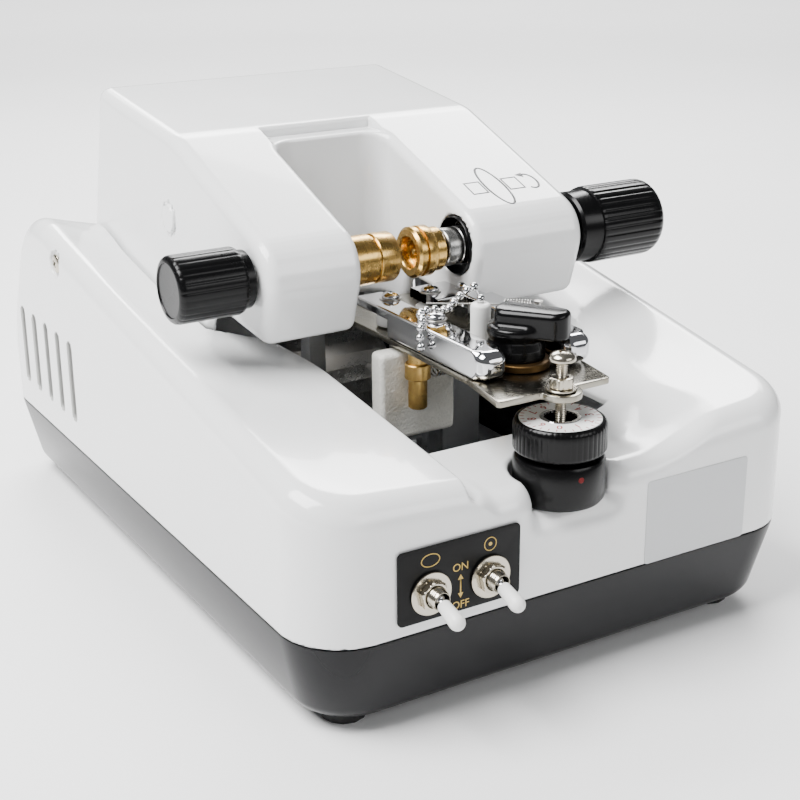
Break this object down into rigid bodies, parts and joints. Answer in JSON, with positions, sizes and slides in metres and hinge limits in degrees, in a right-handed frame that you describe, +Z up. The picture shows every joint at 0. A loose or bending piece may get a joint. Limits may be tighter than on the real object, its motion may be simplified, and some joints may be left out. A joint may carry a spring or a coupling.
{
  "type": "lens groover",
  "caption": "Bench machine that cuts a groove round a spectacle lens: white casing on a dark tray, hinged head with lens chucks, table with guide arms, depth dial and toggle switches.",
  "frame": {"origin": "middle of the bounding box's underside, on the surface that the feet stand on", "axes": "+Z up, the front with the switches and the dial faces -Y, the lens clamp knob is at +X"},
  "size_m": [0.187, 0.2834, 0.1567],
  "materials": {
    "white": "glossy moulded",
    "charcoal": "glossy moulded",
    "black": "semi-gloss",
    "label": "printed",
    "rubber": "matt",
    "steel": "ground",
    "plate": "nickelled",
    "chrome": "polished",
    "brass": "turned",
    "nylon": "satin",
    "sponge": "open cell",
    "zinc": "zinc plated"
  },
  "bodies": {
    "base": {"lower_tray": "charcoal", "front_left_foot": "rubber", "rear_left_foot": "rubber", "front_right_foot": "rubber", "rear_right_foot": "rubber", "upper_casing": "white", "power_inlet": "black", "fuse_holder": "black", "chassis_frame": "zinc", "hinge_pin": "steel", "table_pin": "steel", "left_cover_screw": "steel", "right_cover_screw": "steel", "switch_panel": "label", "lens_switch_body": "chrome", "lens_switch_nut": "chrome", "wheel_switch_body": "chrome", "wheel_switch_nut": "chrome", "wheel_bearing_block": "zinc", "wheel_motor": "steel", "wheel_belt": "rubber", "sponge": "sponge", "sponge_holder": "zinc", "dial_base": "black"},
    "lens_lever": {"lens_lever": "nylon"},
    "wheel_lever": {"wheel_lever": "nylon"},
    "head": {"head_shell": "white", "head_frame": "zinc", "lens_motor": "zinc", "lens_belt": "rubber", "clamp_bush": "black"},
    "lens_motor_rotor": {"lens_motor_pulley": "brass"},
    "left_spindle": {"left_spindle_shaft": "steel", "left_chuck": "brass", "left_knob": "black"},
    "clamp_knob": {"clamp_knob": "black"},
    "clamp_spindle": {"clamp_spindle": "steel"},
    "cup": {"right_cup": "brass"},
    "wheel_spindle": {"wheel_shaft": "steel", "groove_wheel": "steel"},
    "wheel_motor_rotor": {"wheel_motor_pulley": "brass"},
    "depth_dial": {"depth_dial_knob": "black", "depth_dial_face": "nylon"},
    "depth_cam": {"depth_cam": "steel"},
    "table": {"table_plate": "plate", "adjusting_screw": "chrome", "adjusting_nut": "chrome", "return_spring": "chrome", "spring_anchor": "brass"},
    "left_arm": {"left_arm": "chrome", "left_pivot_post": "brass", "bead_chain": "chrome"},
    "right_arm": {"right_arm": "chrome", "right_pivot_post": "brass", "closing_spring": "steel"},
    "left_roller": {"left_roller": "nylon"},
    "right_roller": {"right_roller": "nylon"},
    "wing_knob": {"wing_cam": "brass", "wing_knob": "black"},
    "peg": {"nylon_peg": "nylon"}
  },
  "joints": [
    {"name": "head_lift", "type": "hinge", "parent": "base", "child": "head", "pos_m": [-0.0035, 0.10045, 0.076], "axis": [-1, 0, 0], "range_deg": [0, 25]},
    {"name": "lens_motor_spin", "type": "hinge", "parent": "head", "child": "lens_motor_rotor", "pos_m": [-0.046, 0.05445, 0.1235], "axis": [1, 0, 0], "continuous": true},
    {"name": "left_spindle_spin", "type": "hinge", "parent": "head", "child": "left_spindle", "pos_m": [-0.046, -0.03155, 0.1135], "axis": [1, 0, 0], "continuous": true},
    {"name": "clamp_knob_turn", "type": "hinge", "parent": "head", "child": "clamp_knob", "pos_m": [0.0568, -0.03155, 0.1135], "axis": [1, 0, 0], "range_deg": [0, 1080]},
    {"name": "clamp_slide", "type": "slide", "parent": "head", "child": "clamp_spindle", "axis": [1, 0, 0], "range_m": [0, 0.012]},
    {"name": "cup_spin", "type": "hinge", "parent": "clamp_spindle", "child": "cup", "pos_m": [-0.008, -0.03155, 0.1135], "axis": [1, 0, 0], "continuous": true},
    {"name": "wheel_motor_spin", "type": "hinge", "parent": "base", "child": "wheel_motor_rotor", "pos_m": [0.0283, 0.03645, 0.048], "axis": [1, 0, 0], "continuous": true},
    {"name": "wheel_spin", "type": "hinge", "parent": "base", "child": "wheel_spindle", "pos_m": [-0.007, -0.03155, 0.08], "axis": [1, 0, 0], "continuous": true},
    {"name": "depth_dial_turn", "type": "hinge", "parent": "base", "child": "depth_dial", "pos_m": [-0.0045, -0.11455, 0.0712], "axis": [0, 0, 1], "range_deg": [0, 270]},
    {"name": "cam_rise", "type": "slide", "parent": "base", "child": "depth_cam", "axis": [0, 0, 1], "range_m": [0, 0.00225]},
    {"name": "table_tilt", "type": "hinge", "parent": "base", "child": "table", "pos_m": [-0.0035, -0.00755, 0.085], "axis": [-1, 0, 0], "range_deg": [0, 1.21]},
    {"name": "wing_turn", "type": "hinge", "parent": "table", "child": "wing_knob", "pos_m": [-0.00175, -0.08755, 0.0904], "axis": [0, 0, 1], "range_deg": [0, 90]},
    {"name": "left_arm_swing", "type": "hinge", "parent": "table", "child": "left_arm", "pos_m": [-0.0172, -0.05555, 0.0904], "axis": [0, 0, -1], "range_deg": [0, 3.4]},
    {"name": "right_arm_swing", "type": "hinge", "parent": "table", "child": "right_arm", "pos_m": [0.0137, -0.05555, 0.0904], "axis": [0, 0, 1], "range_deg": [0, 3.4]},
    {"name": "left_roller_spin", "type": "hinge", "parent": "left_arm", "child": "left_roller", "pos_m": [-0.0143, -0.03405, 0.0907], "axis": [0, 0, 1], "continuous": true},
    {"name": "right_roller_spin", "type": "hinge", "parent": "right_arm", "child": "right_roller", "pos_m": [0.0009, -0.03405, 0.0907], "axis": [0, 0, 1], "continuous": true},
    {"name": "peg_lift", "type": "slide", "parent": "table", "child": "peg", "axis": [0, 0, 1], "range_m": [0, 0.025]},
    {"name": "lens_lever_tilt", "type": "hinge", "parent": "base", "child": "lens_lever", "pos_m": [-0.0564, -0.1299, 0.0436], "axis": [-1, 0, 0], "range_deg": [0, 36]},
    {"name": "wheel_lever_tilt", "type": "hinge", "parent": "base", "child": "wheel_lever", "pos_m": [-0.0364, -0.1299, 0.0436], "axis": [-1, 0, 0], "range_deg": [0, 36]}
  ],
  "couplings": [
    {"joint": "left_spindle_spin", "follows": "lens_motor_spin", "ratio": 1},
    {"joint": "clamp_knob_turn", "follows": "clamp_slide", "rad_per_m": 1570.8},
    {"joint": "wheel_spin", "follows": "wheel_motor_spin", "ratio": 1},
    {"joint": "cam_rise", "follows": "depth_dial_turn", "m_per_rad": 0.00047746},
    {"joint": "table_tilt", "follows": "depth_dial_turn", "ratio": 0.004463},
    {"joint": "left_arm_swing", "follows": "wing_turn", "ratio": 0.037778},
    {"joint": "right_arm_swing", "follows": "wing_turn", "ratio": 0.037778}
  ]
}
